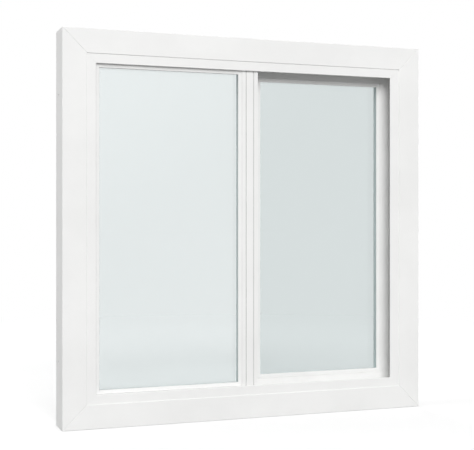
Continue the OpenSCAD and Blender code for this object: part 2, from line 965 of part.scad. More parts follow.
module roller_wheel_left() { roller_wheel(roller_x[0]); }
module roller_wheel_right() { roller_wheel(roller_x[1]); }

// Lock on the edge of the meeting stile
module lock_holes(r) {
  for (s = [-1, 1])
    rod_x(r, sash_left - lock_t - OVER, sash_left + sash_wall + OVER, sash_mid, lock_z + s * lock_screw_z);
}

module lock_base() {
  r = lock_w / 2;
  straight = lock_len - lock_w;
  color(WHITE)
    in_frame()
      difference() {
        union() {
          translate([sash_left - lock_t, sash_mid - r, lock_z - straight / 2])
            cube([lock_t, lock_w, straight]);
          for (s = [-1, 1])
            rod_x(r, sash_left - lock_t, sash_left, sash_mid, lock_z + s * straight / 2);
        }
        rod_x(pivot_r + run_gap, sash_left - lock_t - OVER, sash_left + OVER, sash_mid, lock_z);
        lock_holes(screw_r + screw_gap);
        for (s = [-1, 1])
          rod_x(screw_head_r + fit_gap, sash_left - lock_t - OVER, sash_left - lock_t + head_t,
                sash_mid, lock_z + s * lock_screw_z);
      }
}

module lock_screws() {
  color(METAL)
    in_frame()
      for (s = [-1, 1]) {
        rod_x(screw_r, sash_left - lock_t + head_t, sash_left + sash_wall, sash_mid, lock_z + s * lock_screw_z);
        rod_x(screw_head_r, sash_left - lock_t, sash_left - lock_t + head_t, sash_mid, lock_z + s * lock_screw_z);
      }
}

// Lever with its thumb end up and its beak down, as when unlocked
module lock_lever() {
  hub_r = pivot_r + hub_rim;
  color(WHITE)
    in_frame()
      union() {
        rod_x(pivot_r, lever_face - OVER, sash_left - face_gap, sash_mid, lock_z);
        rod_x(hub_r, lever_face - thumb_t, lever_face, sash_mid, lock_z);
        intersection() {
          rod_x(beak_len, beak_left, lever_face, sash_mid, lock_z);
          translate([beak_left, sash_mid - beak_w / 2, lock_z - beak_len])
            cube([beak_t, beak_w, beak_len]);
        }
        translate([lever_face - thumb_t, sash_mid - lever_w / 2, lock_z])
          cube([thumb_t, lever_w, lever_len - lever_w / 2]);
        rod_x(lever_w / 2, lever_face - thumb_t, lever_face, sash_mid, lock_z + lever_len - lever_w / 2);
      }
}

frame_head();
frame_sill();
frame_jamb_left();
frame_jamb_right();
track_head();
track_sill();
track_jamb_left();
track_jamb_right();
roller_rail();
fixed_adaptor_head();
fixed_adaptor_sill();
fixed_adaptor_jamb();
fixed_bead_head();
fixed_bead_sill();
fixed_bead_jamb();
fixed_bead_rail();
meeting_rail();
rail_interlock();
fixed_pane_outer();
fixed_pane_inner();
fixed_spacer();
fixed_edge_seal();
fixed_setting_blocks();
fixed_glazing_tape();
fixed_bead_gasket();
pile_head();
pile_sill();
pile_jamb();
pile_meeting();
lock_keeper();
keeper_screws();
open_stops();
sash_rail_top();
sash_rail_bottom();
sash_stile_jamb();
sash_stile_meeting();
sash_bead_top();
sash_bead_bottom();
sash_bead_jamb();
sash_bead_meeting();
sash_pane_outer();
sash_pane_inner();
sash_spacer();
sash_edge_seal();
sash_setting_blocks();
sash_glazing_tape();
sash_bead_gasket();
sash_interlock();
sash_guides();
sash_pull();
roller_housing_left();
roller_housing_right();
roller_axles();
roller_wheel_left();
roller_wheel_right();
lock_base();
lock_screws();
lock_lever();
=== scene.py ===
"""Looks of a white vinyl sliding window: finishes, small fittings, studio and camera."""

import logging
import math
from dataclasses import dataclass, field
from enum import Enum
from typing import Any, Callable, Iterable, Sequence

import bpy
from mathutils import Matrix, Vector


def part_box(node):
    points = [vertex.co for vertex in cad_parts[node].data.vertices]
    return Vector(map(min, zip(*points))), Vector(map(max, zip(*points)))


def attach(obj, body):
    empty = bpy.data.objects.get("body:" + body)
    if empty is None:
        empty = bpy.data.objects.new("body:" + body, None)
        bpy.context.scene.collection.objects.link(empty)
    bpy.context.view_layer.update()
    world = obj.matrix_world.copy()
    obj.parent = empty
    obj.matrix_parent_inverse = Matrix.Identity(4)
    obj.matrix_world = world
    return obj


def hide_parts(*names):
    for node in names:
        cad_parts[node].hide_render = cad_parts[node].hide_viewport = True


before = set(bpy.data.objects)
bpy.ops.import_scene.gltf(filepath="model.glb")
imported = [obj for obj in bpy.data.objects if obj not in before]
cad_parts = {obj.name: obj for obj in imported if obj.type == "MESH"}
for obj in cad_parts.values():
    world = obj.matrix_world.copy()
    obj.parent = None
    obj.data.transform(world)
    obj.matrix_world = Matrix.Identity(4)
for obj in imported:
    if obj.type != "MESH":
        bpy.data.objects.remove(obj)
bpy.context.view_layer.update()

MM = 0.001
# Places nearer than SAME are one place, an edge that is longer than LONG along an axis runs along it, and
# a face whose normal has at least FACING of an axis faces that way.
SAME = 1e-6
LONG = 1e-4
FACING = 0.99
IMAGE_W = 474
IMAGE_H = 450

Material = bpy.types.Material
Tree = bpy.types.NodeTree
Point = Sequence[float]

log = logging.getLogger("sliding_window")


def linear(hex_colour: str) -> tuple[float, float, float, float]:
    """Turns an sRGB hex colour into linear RGBA.

    Args:
        hex_colour: A colour such as "#F2F2F0".

    Returns:
        Linear red, green, blue and an alpha of 1.
    """
    values = [int(hex_colour[i:i + 2], 16) / 255 for i in (1, 3, 5)]
    toe, slope, offset, power = 0.04045, 12.92, 0.055, 2.4
    lin = [v / slope if v <= toe else ((v + offset) / (1 + offset)) ** power for v in values]
    return (lin[0], lin[1], lin[2], 1.0)


def add_node(tree: Tree, kind: str, links: dict[str | int, Any] | None = None,
             values: dict[str | int, Any] | None = None, stops: Sequence[tuple[float, str]] = (),
             **settings: Any) -> bpy.types.Node:
    """Adds one node to a tree with its settings, input values and links.

    Args:
        tree: The node tree.
        kind: The shader node's type name.
        links: Output sockets to link, by the name or number of the input they go to.
        values: Plain values, by the name or number of the input they are set on.
        stops: A colour ramp's places from 0 to 1, with their hex colours.
        settings: Attributes of the node itself.

    Returns:
        The new node.
    """
    node = tree.nodes.new(f"ShaderNode{kind}")
    for name, value in settings.items():
        setattr(node, name, value)
    for name, value in (values or {}).items():
        node.inputs[name].default_value = value
    for name, socket in (links or {}).items():
        tree.links.new(socket, node.inputs[name])
    if stops:
        elements = node.color_ramp.elements
        while len(elements) < len(stops):
            elements.new(1.0)
        for element, (place, colour) in zip(elements, stops):
            element.position = place
            element.color = linear(colour)
    return node


def new_material(name: str) -> tuple[Material, Tree]:
    """Makes a material without nodes.

    Args:
        name: The material's name.

    Returns:
        The material and its node tree.
    """
    material = bpy.data.materials.new(name)
    material.use_nodes = True
    material.node_tree.nodes.clear()
    return material, material.node_tree


class Run(Enum):
    """The axis that an extruded member runs along, as scales on X, Y and Z."""

    ALONG_X = (0.02, 1.0, 1.0)
    ALONG_Z = (1.0, 1.0, 0.02)


@dataclass(frozen=True)
class Upvc:
    """Extruded unplasticised PVC, calibrated while warm: satin white, with faint drag lines along it.

    Its corners are slightly round, and painted shade greys the seams and narrow grooves. Real drag lines
    are finer, and are drawn as coarse as they need to show.
    """

    run: Run
    pale: str = "#F4F4F3"
    dull: str = "#F0F0EF"
    # The grey of the painted shade in seams and narrow grooves.
    seam_shade: str = "#BCBDBB"
    roughness: tuple[float, float] = (0.27, 0.31)
    ior: float = 1.53
    cloud_mm: float = 120.0
    cloud_detail: float = 3.0
    dull_place: float = 0.35
    pale_place: float = 0.65
    line_mm: float = 2.2
    line_detail: float = 2.0
    line_depth_mm: float = 0.02
    line_strength: float = 0.1
    corner_mm: float = 0.6
    corner_samples: int = 4
    seam_mm: float = 3.0
    seam_samples: int = 6
    seam_shut: float = 0.25
    seam_open: float = 0.75

    def make(self) -> Material:
        """Builds the material.

        Returns:
            White uPVC whose drag lines follow the member.
        """
        material, tree = new_material(f"upvc_white_{self.run.name.lower()}")
        place = add_node(tree, "TexCoord")
        along_run = add_node(tree, "Mapping", {"Vector": place.outputs["Object"]},
                             {"Scale": self.run.value})
        drag = add_node(tree, "TexNoise", {"Vector": along_run.outputs["Vector"]},
                        {"Scale": 1 / (self.line_mm * MM), "Detail": self.line_detail})
        cloud = add_node(tree, "TexNoise", {"Vector": place.outputs["Object"]},
                         {"Scale": 1 / (self.cloud_mm * MM), "Detail": self.cloud_detail})
        tone = add_node(tree, "ValToRGB", {"Fac": cloud.outputs["Fac"]},
                        stops=[(self.dull_place, self.dull), (self.pale_place, self.pale)])
        # Painted shade: an occlusion mask mixes the colour towards grey in seams and narrow grooves.
        seam = add_node(tree, "AmbientOcclusion", values={"Distance": self.seam_mm * MM},
                        samples=self.seam_samples, only_local=True)
        open_air = add_node(tree, "MapRange", {"Value": seam.outputs["AO"]},
                            {"From Min": self.seam_shut, "From Max": self.seam_open})
        colour = add_node(tree, "MixRGB",
                          {"Fac": open_air.outputs["Result"], "Color2": tone.outputs["Color"]},
                          {"Color1": linear(self.seam_shade)})
        gloss = add_node(tree, "MapRange", {"Value": drag.outputs["Fac"]},
                         {"To Min": self.roughness[0], "To Max": self.roughness[1]})
        corner = add_node(tree, "Bevel", values={"Radius": self.corner_mm * MM},
                          samples=self.corner_samples)
        bump = add_node(tree, "Bump",
                        {"Height": drag.outputs["Fac"], "Normal": corner.outputs["Normal"]},
                        {"Strength": self.line_strength, "Distance": self.line_depth_mm * MM})
        skin = add_node(tree, "BsdfPrincipled",
                        {"Base Color": colour.outputs["Color"], "Roughness": gloss.outputs["Result"],
                         "Normal": bump.outputs["Normal"]}, {"IOR": self.ior})
        add_node(tree, "OutputMaterial", {"Surface": skin.outputs["BSDF"]})
        return material


@dataclass(frozen=True)
class FloatGlass:
    """Clear soda-lime float glass: flat and polished, faintly blue-green, with a slow roller wave."""

    name: str
    tint: str
    wave_mm: float = 260.0
    wave_detail: float = 1.0
    wave_depth_mm: float = 0.02
    wave_strength: float = 0.3
    ior: float = 1.52

    def make(self) -> Material:
        """Builds the material.

        Returns:
            Tinted clear glass that lets the lamps' light through.
        """
        material, tree = new_material(self.name)
        place = add_node(tree, "TexCoord")
        wave = add_node(tree, "TexNoise", {"Vector": place.outputs["Object"]},
                        {"Scale": 1 / (self.wave_mm * MM), "Detail": self.wave_detail})
        bump = add_node(tree, "Bump", {"Height": wave.outputs["Fac"]},
                        {"Strength": self.wave_strength, "Distance": self.wave_depth_mm * MM})
        glass = add_node(tree, "BsdfPrincipled", {"Normal": bump.outputs["Normal"]},
                         {"Base Color": linear(self.tint), "Roughness": 0.0, "IOR": self.ior,
                          "Transmission Weight": 1.0})
        # Lamp light passes two faces of a pane, so each of them takes the square root of the tint.
        one_face = tuple(math.sqrt(value) for value in linear(self.tint))
        clear = add_node(tree, "BsdfTransparent", values={"Color": one_face})
        path = add_node(tree, "LightPath")
        mix = add_node(tree, "MixShader", {0: path.outputs["Is Shadow Ray"], 1: glass.outputs["BSDF"],
                                           2: clear.outputs["BSDF"]})
        add_node(tree, "OutputMaterial", {"Surface": mix.outputs["Shader"]})
        return material


@dataclass(frozen=True)
class SpacerBar:
    """Silicone-foam spacer: pale and dull, a shade deeper along the panes that it is bonded to."""

    name: str
    front_y: float
    back_y: float
    web: str
    seal: str
    front_seal: float = 0.36
    back_seal: float = 0.04
    blend: float = 0.05
    roughness: float = 0.45
    grain_mm: float = 1.5
    grain_detail: float = 4.0
    grain_depth_mm: float = 0.02
    grain_strength: float = 0.4

    def make(self) -> Material:
        """Builds the material.

        Returns:
            A spacer whose colour changes across the cavity.
        """
        material, tree = new_material(self.name)
        place = add_node(tree, "TexCoord")
        axes = add_node(tree, "SeparateXYZ", {"Vector": place.outputs["Object"]})
        across = add_node(tree, "MapRange", {"Value": axes.outputs["Y"]},
                          {"From Min": self.front_y, "From Max": self.back_y})
        tone = add_node(tree, "ValToRGB", {"Fac": across.outputs["Result"]},
                        stops=[(self.front_seal, self.seal), (self.front_seal + self.blend, self.web),
                               (1 - self.back_seal - self.blend, self.web),
                               (1 - self.back_seal, self.seal)])
        grain = add_node(tree, "TexNoise", {"Vector": place.outputs["Object"]},
                         {"Scale": 1 / (self.grain_mm * MM), "Detail": self.grain_detail})
        bump = add_node(tree, "Bump", {"Height": grain.outputs["Fac"]},
                        {"Strength": self.grain_strength, "Distance": self.grain_depth_mm * MM})
        skin = add_node(tree, "BsdfPrincipled",
                        {"Base Color": tone.outputs["Color"], "Normal": bump.outputs["Normal"]},
                        {"Roughness": self.roughness})
        add_node(tree, "OutputMaterial", {"Surface": skin.outputs["BSDF"]})
        return material


@dataclass(frozen=True)
class Speckled:
    """A plain solid material whose colour and gloss vary over a fine grain."""

    name: str
    low: str
    high: str
    roughness: tuple[float, float]
    grain_mm: float
    depth_mm: float
    metallic: float = 0.0
    stretch: tuple[float, float, float] = (1.0, 1.0, 1.0)
    grain_detail: float = 4.0
    grain_strength: float = 0.4
    low_place: float = 0.3
    high_place: float = 0.7

    def make(self) -> Material:
        """Builds the material.

        Returns:
            The finish named by the fields.
        """
        material, tree = new_material(self.name)
        place = add_node(tree, "TexCoord")
        stretched = add_node(tree, "Mapping", {"Vector": place.outputs["Object"]},
                             {"Scale": self.stretch})
        grain = add_node(tree, "TexNoise", {"Vector": stretched.outputs["Vector"]},
                         {"Scale": 1 / (self.grain_mm * MM), "Detail": self.grain_detail})
        tone = add_node(tree, "ValToRGB", {"Fac": grain.outputs["Fac"]},
                        stops=[(self.low_place, self.low), (self.high_place, self.high)])
        gloss = add_node(tree, "MapRange", {"Value": grain.outputs["Fac"]},
                         {"To Min": self.roughness[0], "To Max": self.roughness[1]})
        bump = add_node(tree, "Bump", {"Height": grain.outputs["Fac"]},
                        {"Strength": self.grain_strength, "Distance": self.depth_mm * MM})
        skin = add_node(tree, "BsdfPrincipled",
                        {"Base Color": tone.outputs["Color"], "Roughness": gloss.outputs["Result"],
                         "Normal": bump.outputs["Normal"]}, {"Metallic": self.metallic})
        add_node(tree, "OutputMaterial", {"Surface": skin.outputs["BSDF"]})
        return material


class Finishes:
    """Every finish of the window, made once."""

    def __init__(self) -> None:
        """Makes the materials."""
        self.upvc = {run: Upvc(run).make() for run in Run}
        self.fixed_glass = FloatGlass("float_glass_fixed_lite", "#F1F4F4").make()
        self.sash_glass = FloatGlass("float_glass_sash", "#EAEEEE").make()
        # Two-part polysulphide, dark and slightly uneven where it was trowelled.
        self.sealant = Speckled("polysulphide_sealant", "#3A4041", "#454C4D", roughness=(0.6, 0.75),
                                grain_mm=3.0, depth_mm=0.1).make()
        # EPDM: black rubber with a dry bloom.
        self.rubber = Speckled("epdm_rubber", "#1B1C1D", "#262829", roughness=(0.55, 0.75),
                               grain_mm=0.8, depth_mm=0.02).make()
        # Thermoplastic elastomer, moulded or co-extruded: soft grey, dry and matt.
        self.elastomer = Speckled("thermoplastic_elastomer", "#B4B6B5", "#BEC0BF", roughness=(0.55, 0.70),
                                  grain_mm=0.8, depth_mm=0.02).make()
        # Polypropylene pile: grey, fuzzy and without gloss.
        self.pile = Speckled("polypropylene_pile", "#7D8486", "#A2A9AB", roughness=(0.8, 0.95),
                             grain_mm=0.35, depth_mm=0.2).make()
        # Extruded aluminium, mill finish: fine die lines along the rail.
        self.aluminium = Speckled("mill_aluminium", "#C9CBCC", "#D8DADB", roughness=(0.28, 0.42),
                                  grain_mm=0.5, depth_mm=0.01, metallic=1.0,
                                  stretch=Run.ALONG_X.value).make()
        # Zinc-plated steel, with its faint spangle.
        self.zinc = Speckled("zinc_plated_steel", "#B4B7B8", "#C6C9CA", roughness=(0.25, 0.40),
                             grain_mm=1.2, depth_mm=0.01, metallic=1.0).make()
        # Moulded nylon: milky and a little waxy.
        self.nylon = Speckled("natural_nylon", "#DEDDD6", "#E9E8E2", roughness=(0.35, 0.48),
                              grain_mm=2.0, depth_mm=0.02).make()
        # Die-cast zinc under white powder coat, with a slight orange peel.
        self.enamel = Speckled("white_powder_coat", "#F0F0EE", "#F4F4F2", roughness=(0.22, 0.30),
                               grain_mm=0.7, depth_mm=0.004).make()


def dress(names: Iterable[str], material: Material) -> None:
    """Gives CAD nodes one material.

    Args:
        names: The nodes' names.
        material: Their material.
    """
    for name in names:
        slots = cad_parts[name].data.materials
        slots.clear()
        slots.append(material)
        log.info("%s: %s", name, material.name)


@dataclass
class Members:
    """The white extrusions of the frame and the sash, by the way they run."""

    finishes: Finishes
    level: tuple[str, ...] = ("frame_head", "frame_sill", "track_head", "track_sill",
                              "fixed_adaptor_head", "fixed_adaptor_sill", "fixed_bead_head",
                              "fixed_bead_sill", "sash_rail_top", "sash_rail_bottom",
                              "sash_bead_top", "sash_bead_bottom")
    upright: tuple[str, ...] = ("frame_jamb_left", "frame_jamb_right", "track_jamb_left",
                                "track_jamb_right", "fixed_adaptor_jamb", "fixed_bead_jamb",
                                "fixed_bead_rail", "meeting_rail", "rail_interlock",
                                "sash_stile_jamb", "sash_stile_meeting", "sash_bead_jamb",
                                "sash_bead_meeting", "sash_interlock")

    def build(self) -> None:
        """Dresses the extrusions."""
        dress(self.level, self.finishes.upvc[Run.ALONG_X])
        dress(self.upright, self.finishes.upvc[Run.ALONG_Z])


@dataclass
class GlassUnits:
    """The two double-glazed units with what seals and carries them."""

    finishes: Finishes
    # The spacers' colours: the web, and the edges along the panes.
    fixed_spacer: tuple[str, str] = ("#D2DFDF", "#CBDEDE")
    # Painted light: the sash's spacer is paler than the fixed lite's, to offset the deeper shade it sits
    # in.
    sash_spacer: tuple[str, str] = ("#E4EFEF", "#E0EEEE")

    def build(self) -> None:
        """Dresses panes, spacers, sealant, blocks, tapes and gaskets."""
        for unit, glass, colours in (("fixed", self.finishes.fixed_glass, self.fixed_spacer),
                                     ("sash", self.finishes.sash_glass, self.sash_spacer)):
            dress((f"{unit}_pane_outer", f"{unit}_pane_inner"), glass)
            low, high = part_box(f"{unit}_spacer")
            bar = SpacerBar(f"silicone_foam_{unit}", low[1], high[1], *colours)
            dress((f"{unit}_spacer",), bar.make())
            dress((f"{unit}_edge_seal",), self.finishes.sealant)
            dress((f"{unit}_setting_blocks",), self.finishes.rubber)
            dress((f"{unit}_glazing_tape", f"{unit}_bead_gasket"), self.finishes.elastomer)


class Axis(Enum):
    """An axis, as the turn that lays a standing cylinder along it."""

    X = (0.0, math.pi / 2, 0.0)
    Y = (-math.pi / 2, 0.0, 0.0)
    Z = (0.0, 0.0, 0.0)

    @property
    def number(self) -> int:
        """The axis's place among X, Y and Z."""
        return "XYZ".index(self.name)

    def reach(self, length: float) -> Vector:
        """Returns a vector of a length along the axis."""
        return Vector([length if k == self.number else 0.0 for k in range(3)])


class Element(Enum):
    """What is picked on a mesh."""

    FACE = "FACE"
    EDGE = "EDGE"
    VERT = "VERT"


class Boolean(Enum):
    """What a tool does to a piece."""

    CUT = "DIFFERENCE"
    ADD = "UNION"
    SHARE = "INTERSECT"


def at(axis: Axis, place: float, *points: Point) -> bool:
    """Tells whether all the points lie at one place along an axis."""
    return all(abs(point[axis.number] - place) < SAME for point in points)


def along(axis: Axis, start: Point, end: Point) -> bool:
    """Tells whether an edge runs along an axis."""
    return abs(start[axis.number] - end[axis.number]) > LONG


class Solid:
    """A piece in work, shaped with the modelling operators; sizes are in metres."""

    ROUND_SIDES = 48
    BEVEL_PROFILE = 0.5
    SOFT_STEPS = 2
    SHARP_DEG = 40.0
    SMOOTH_DEG = 35.0
    SMOOTH_FACTOR = 0.5
    FACE_WEIGHT = 100

    def __init__(self, thing: bpy.types.Object) -> None:
        """Takes up an object."""
        self.thing = thing

    @staticmethod
    def clear() -> None:
        """Deselects everything, so that an operator acts on one piece."""
        bpy.ops.object.select_all(action="DESELECT")

    @staticmethod
    def settle() -> None:
        """Puts the selected piece's place, turn and scale into its mesh."""
        bpy.ops.object.transform_apply(location=True, rotation=True, scale=True)

    @staticmethod
    def done() -> None:
        """Leaves edit mode."""
        bpy.ops.object.mode_set(mode="OBJECT")

    @classmethod
    def block(cls, low: Point, high: Point) -> "Solid":
        """Adds a box between two corners.

        Args:
            low: Its lowest corner.
            high: Its highest corner.

        Returns:
            The box, with its place in its mesh.
        """
        cls.clear()
        middle = [(a + b) / 2 for a, b in zip(low, high)]
        bpy.ops.mesh.primitive_cube_add(size=1.0, location=middle)
        thing = bpy.context.active_object
        thing.scale = [b - a for a, b in zip(low, high)]
        cls.settle()
        return cls(thing)

    @classmethod
    def rod(cls, axis: Axis, low: Point, radius: float, length: float,
            sides: int = ROUND_SIDES) -> "Solid":
        """Adds a cylinder along an axis, with its first edge half a side off the axes.

        Args:
            axis: The way it runs.
            low: The middle of its lower end.
            radius: Its radius.
            length: Its length along the axis.
            sides: The number of its sides.

        Returns:
            The cylinder, with its place in its mesh.
        """
        cls.clear()
        bpy.ops.mesh.primitive_cylinder_add(vertices=sides, radius=radius, depth=length)
        thing = bpy.context.active_object
        thing.rotation_euler = (0.0, 0.0, math.pi / sides)
        cls.settle()
        thing.rotation_euler = axis.value
        thing.location = Vector(low) + axis.reach(length / 2)
        cls.settle()
        return cls(thing)

    def take(self) -> None:
        """Selects the piece alone and makes it active."""
        self.clear()
        self.thing.select_set(True)
        bpy.context.view_layer.objects.active = self.thing

    def modify(self, kind: str, **settings: Any) -> None:
        """Adds a modifier to the piece and applies it.

        Args:
            kind: The modifier's type name.
            settings: Attributes of the modifier.
        """
        self.take()
        bpy.ops.object.modifier_add(type=kind)
        modifier = self.thing.modifiers[-1]
        for name, value in settings.items():
            setattr(modifier, name, value)
        bpy.ops.object.modifier_apply(modifier=modifier.name)

    def pick(self, kind: Element, test: Callable[..., bool]) -> None:
        """Enters edit mode with the faces, edges or vertices that pass a test selected.

        Args:
            kind: What is picked.
            test: Takes a face's centre and normal, an edge's two ends, or a vertex's place.
        """
        self.take()
        mesh = self.thing.data
        bpy.ops.object.mode_set(mode="EDIT")
        bpy.ops.mesh.select_mode(type=kind.value)
        bpy.ops.mesh.select_all(action="DESELECT")
        bpy.ops.object.mode_set(mode="OBJECT")
        if kind is Element.FACE:
            for face in mesh.polygons:
                face.select = test(face.center, face.normal)
        elif kind is Element.EDGE:
            for edge in mesh.edges:
                edge.select = test(*(mesh.vertices[i].co for i in edge.vertices))
        else:
            for vertex in mesh.vertices:
                vertex.select = test(vertex.co)
        bpy.ops.object.mode_set(mode="EDIT")

    def round_edges(self, width: float, segments: int, test: Callable[..., bool]) -> None:
        """Bevels the edges that pass a test.

        Args:
            width: The bevel's width.
            segments: The number of its strips.
            test: Takes an edge's two ends.
        """
        self.pick(Element.EDGE, test)
        bpy.ops.mesh.bevel(offset=width, segments=segments, profile=self.BEVEL_PROFILE, affect="EDGES",
                           clamp_overlap=True)
        self.done()

    def combine(self, tool: "Solid", how: Boolean) -> None:
        """Cuts a tool out of the piece, adds it or keeps what they share, and deletes the tool.

        Args:
            tool: The other solid.
            how: What the tool does.
        """
        self.modify("BOOLEAN", operation=how.value, solver="EXACT", object=tool.thing)
        bpy.data.objects.remove(tool.thing)

    def drill(self, axis: Axis, low: Point, radius: float, length: float,
              sides: int = ROUND_SIDES) -> None:
        """Cuts a round hole or groove, with the sizes of a rod."""
        self.combine(Solid.rod(axis, low, radius, length, sides), Boolean.CUT)

    def soften(self, width: float) -> None:
        """Rounds every sharp edge a little, to a width."""
        self.modify("BEVEL", width=width, segments=self.SOFT_STEPS, limit_method="ANGLE",
                    angle_limit=math.radians(self.SHARP_DEG))

    def cast(self, grain: float, rounds: int) -> None:
        """Meshes the piece in cells of a size and smooths it some rounds, as a casting is rounded."""
        self.modify("REMESH", mode="VOXEL", voxel_size=grain)
        self.modify("SMOOTH", factor=self.SMOOTH_FACTOR, iterations=rounds)

    def copy_at(self, shift: Point) -> "Solid":
        """Copies the piece with its own mesh and moves the copy.

        Args:
            shift: How far the copy moves.

        Returns:
            The copy, with its place in its mesh.
        """
        twin = Solid(self.thing.copy())
        twin.thing.data = self.thing.data.copy()
        bpy.context.scene.collection.objects.link(twin.thing)
        twin.take()
        twin.thing.location = shift
        twin.settle()
        return twin

    def join(self, other: "Solid") -> None:
        """Takes another piece into this one.

        Args:
            other: The piece that is taken in.
        """
        self.take()
        other.thing.select_set(True)
        bpy.ops.object.join()

    def hand_over(self, name: str, body: str, slot: str, node: str, material: Material) -> None:
        """Smooths, names and dresses the finished piece and sets it on its body.

        Args:
            name: Its name.
            body: The body that it moves with.
            slot: The record's material slot; not used.
            node: The CAD node that it stands for.
            material: Its finish.
        """
        self.take()
        bpy.ops.object.shade_smooth_by_angle(angle=math.radians(self.SMOOTH_DEG))
        self.modify("WEIGHTED_NORMAL", weight=self.FACE_WEIGHT, keep_sharp=True)
        piece = self.thing
        piece.name = name
        piece.data.name = name
        piece.data.materials.clear()
        piece.data.materials.append(material)
        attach(piece, body)
        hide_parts(node)
        log.info("%s: %d faces, rides on %s", name, len(piece.data.polygons), body)


@dataclass
class ScrewPair:
    """Two small pan-head screws with cross recesses, one above the other."""

    node: str
    body: str
    axis: Axis
    # The sign of the axis on the heads' side.
    outward: int
    sides: int = 32
    head_r: float = 3.0 * MM
    head_t: float = 1.6 * MM
    shank_r: float = 1.5 * MM
    recess_w: float = 0.8 * MM
    recess_len: float = 3.4 * MM
    recess_d: float = 0.9 * MM
    dome: float = 0.7 * MM
    dome_steps: int = 4

    def faces(self) -> list[list[float]]:
        """Finds where the heads are.

        Returns:
            The middles of their outer faces, the lower one first.
        """
        low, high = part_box(self.node)
        i = self.axis.number
        face = [(a + b) / 2 for a, b in zip(low, high)]
        face[i] = high[i] if self.outward > 0 else low[i]
        return [[face[0], face[1], z] for z in (low[2] + self.head_r, high[2] - self.head_r)]

    def build_lower(self) -> Solid:
        """Models the lower screw.

        Returns:
            The screw.
        """
        face = self.faces()[0]
        low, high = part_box(self.node)
        i = self.axis.number
        top = face[i]
        under = top - self.outward * self.head_t
        start = list(face)
        start[i] = min(top, under)
        screw = Solid.rod(self.axis, start, self.head_r, self.head_t, self.sides)
        screw.pick(Element.FACE, lambda centre, normal: normal[i] * self.outward < -FACING)
        bpy.ops.mesh.inset(thickness=self.head_r - self.shank_r)
        shank_end = low[i] if self.outward > 0 else high[i]
        shank = self.axis.reach(shank_end - under)
        bpy.ops.mesh.extrude_region_move(TRANSFORM_OT_translate={"value": shank})
        Solid.done()
        screw.round_edges(self.dome, self.dome_steps, lambda a, b: at(self.axis, top, a, b))
        for j in (k for k in range(3) if k != i):
            half = [self.recess_w / 2] * 3
            half[j] = self.recess_len / 2
            half[i] = self.recess_d
            recess = Solid.block([c - h for c, h in zip(face, half)], [c + h for c, h in zip(face, half)])
            screw.combine(recess, Boolean.CUT)
        return screw

    def build(self, material: Material) -> None:
        """Models the lower screw, copies it and hands over the pair.

        Args:
            material: The screws' finish.
        """
        lower, upper = self.faces()
        screw = self.build_lower()
        screw.join(screw.copy_at((0, 0, upper[2] - lower[2])))
        screw.hand_over(f"{self.node}_cross", self.body, "zinc_steel", self.node, material)


